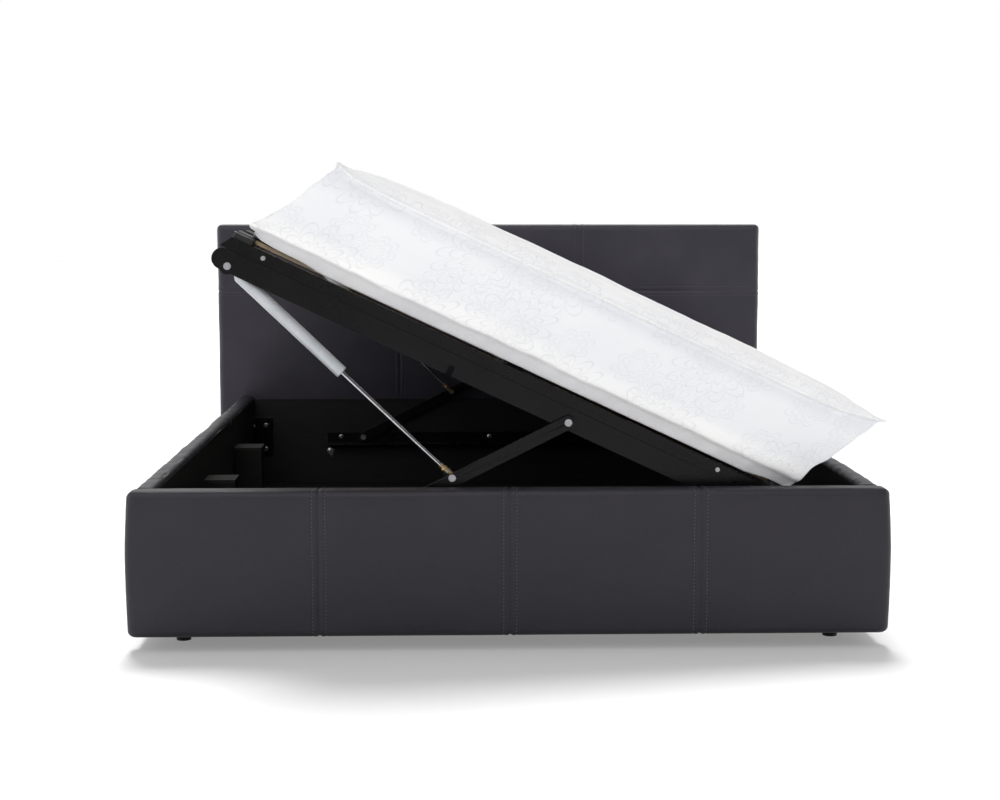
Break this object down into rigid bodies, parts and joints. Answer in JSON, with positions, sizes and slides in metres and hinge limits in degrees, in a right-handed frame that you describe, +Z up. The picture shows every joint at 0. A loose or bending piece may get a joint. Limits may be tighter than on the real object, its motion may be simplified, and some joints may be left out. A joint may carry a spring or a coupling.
{
  "type": "ottoman bed",
  "caption": "Upholstered storage bed whose mattress platform lifts sideways on arms and gas struts over a lined box, with a padded headboard.",
  "frame": {"origin": "on the floor under the middle of the bed's outline", "axes": "+X to the right seen from the foot end, across the bed; +Y from the foot to the headboard; +Z up"},
  "size_m": [1.764, 2.07, 1.0444],
  "materials": {
    "black_leather": "soft satin grain",
    "timber_board": "matt",
    "dark_panel": "matt laminate",
    "black_lining": "matt",
    "black_steel": "gloss",
    "zinc_steel": "satin",
    "chrome_rod": "polished",
    "grey_cylinder": "satin",
    "brass": "satin",
    "slat_wood": "matt",
    "black_plastic": "matt",
    "rubber": "matt",
    "mattress_fabric": "woven with a tone-on-tone flower pattern"
  },
  "bodies": {
    "base": {"foot_panel_cover": "black_leather", "foot_panel_board": "timber_board", "foot_panel_lining": "black_lining", "left_rail_cover": "black_leather", "left_rail_board": "timber_board", "left_rail_lining": "black_lining", "right_rail_cover": "black_leather", "right_rail_board": "timber_board", "right_rail_lining": "black_lining", "headboard_cover": "black_leather", "headboard_board": "timber_board", "headboard_back_panel": "black_lining", "head_end_panel": "dark_panel", "floor_bearers": "timber_board", "feet": "black_plastic", "floor_boards": "dark_panel", "rest_blocks": "dark_panel", "rest_pads": "rubber", "corner_brackets": "black_steel", "corner_bolts": "zinc_steel", "base_rail_bolts": "zinc_steel", "headboard_bolts": "zinc_steel", "near_base_rail": "black_steel", "far_base_rail": "black_steel", "base_pins": "zinc_steel", "base_spacers": "zinc_steel"},
    "platform": {"near_upper_rail": "black_steel", "near_side_strip": "black_steel", "far_upper_rail": "black_steel", "far_side_strip": "black_steel", "strut_bolts": "zinc_steel", "strut_washers": "black_steel", "strip_screws": "zinc_steel", "platform_near_tube": "black_steel", "platform_far_tube": "black_steel", "platform_left_tube": "black_steel", "platform_centre_tube": "black_steel", "platform_right_tube": "black_steel", "rest_tabs": "black_steel", "corner_caps": "black_plastic", "left_slats": "slat_wood", "right_slats": "slat_wood", "slat_holders": "black_plastic", "mattress": "mattress_fabric"},
    "near_arm": {"near_arm": "black_steel", "near_arm_bolts": "zinc_steel"},
    "near_link": {"near_link": "black_steel", "near_link_stud": "zinc_steel"},
    "near_rod": {"near_strut_rod": "chrome_rod", "near_strut_socket": "brass", "near_strut_clip": "zinc_steel"},
    "near_cylinder": {"near_strut_cylinder": "grey_cylinder"},
    "far_arm": {"far_arm": "black_steel", "far_arm_bolts": "zinc_steel"},
    "far_link": {"far_link": "black_steel", "far_link_stud": "zinc_steel"},
    "far_rod": {"far_strut_rod": "chrome_rod", "far_strut_socket": "brass", "far_strut_clip": "zinc_steel"},
    "far_cylinder": {"far_strut_cylinder": "grey_cylinder"}
  },
  "joints": [
    {"name": "near_arm_pivot", "type": "hinge", "parent": "base", "child": "near_arm", "pos_m": [-0.4122, -0.969, 0.2156], "axis": [0, 1, 0], "range_deg": [0, 25.12], "stiffness_Nm_per_rad": 700, "springref_deg": -63.03},
    {"name": "platform_pivot", "type": "hinge", "parent": "near_arm", "child": "platform", "pos_m": [0.12807, -0.969, 0.48697], "axis": [0, 1, 0], "range_deg": [-50.25, 0]},
    {"name": "far_arm_pivot", "type": "hinge", "parent": "base", "child": "far_arm", "pos_m": [-0.4122, 0.929, 0.2156], "axis": [0, 1, 0], "range_deg": [0, 25.12]},
    {"name": "near_link_pivot", "type": "hinge", "parent": "base", "child": "near_link", "pos_m": [0.43601, -0.969, 0.2156], "axis": [0, 1, 0], "range_deg": [0, 72.55]},
    {"name": "near_strut_pivot", "type": "hinge", "parent": "near_arm", "child": "near_rod", "pos_m": [-0.12452, -0.969, 0.36681], "axis": [0, 1, 0], "range_deg": [-69.1, 0]},
    {"name": "near_strut_slide", "type": "slide", "parent": "near_rod", "child": "near_cylinder", "axis": [0.7227, 0, -0.6912], "range_m": [0, 0.13687]},
    {"name": "far_link_pivot", "type": "hinge", "parent": "base", "child": "far_link", "pos_m": [0.43601, 0.929, 0.2156], "axis": [0, 1, 0], "range_deg": [0, 72.55]},
    {"name": "far_strut_pivot", "type": "hinge", "parent": "far_arm", "child": "far_rod", "pos_m": [-0.12452, 0.929, 0.36681], "axis": [0, 1, 0], "range_deg": [-69.1, 0]},
    {"name": "far_strut_slide", "type": "slide", "parent": "far_rod", "child": "far_cylinder", "axis": [0.7227, 0, -0.6912], "range_m": [0, 0.13687]}
  ],
  "couplings": [
    {"joint": "platform_pivot", "follows": "near_arm_pivot", "ratio": -2.0006},
    {"joint": "far_arm_pivot", "follows": "near_arm_pivot", "ratio": 1},
    {"joint": "near_link_pivot", "follows": "near_arm_pivot", "ratio": 2.8885},
    {"joint": "near_strut_pivot", "follows": "near_arm_pivot", "ratio": -2.7513},
    {"joint": "near_strut_slide", "follows": "near_arm_pivot", "m_per_rad": 0.312},
    {"joint": "far_link_pivot", "follows": "near_arm_pivot", "ratio": 2.8885},
    {"joint": "far_strut_pivot", "follows": "near_arm_pivot", "ratio": -2.7513},
    {"joint": "far_strut_slide", "follows": "near_arm_pivot", "m_per_rad": 0.312}
  ]
}
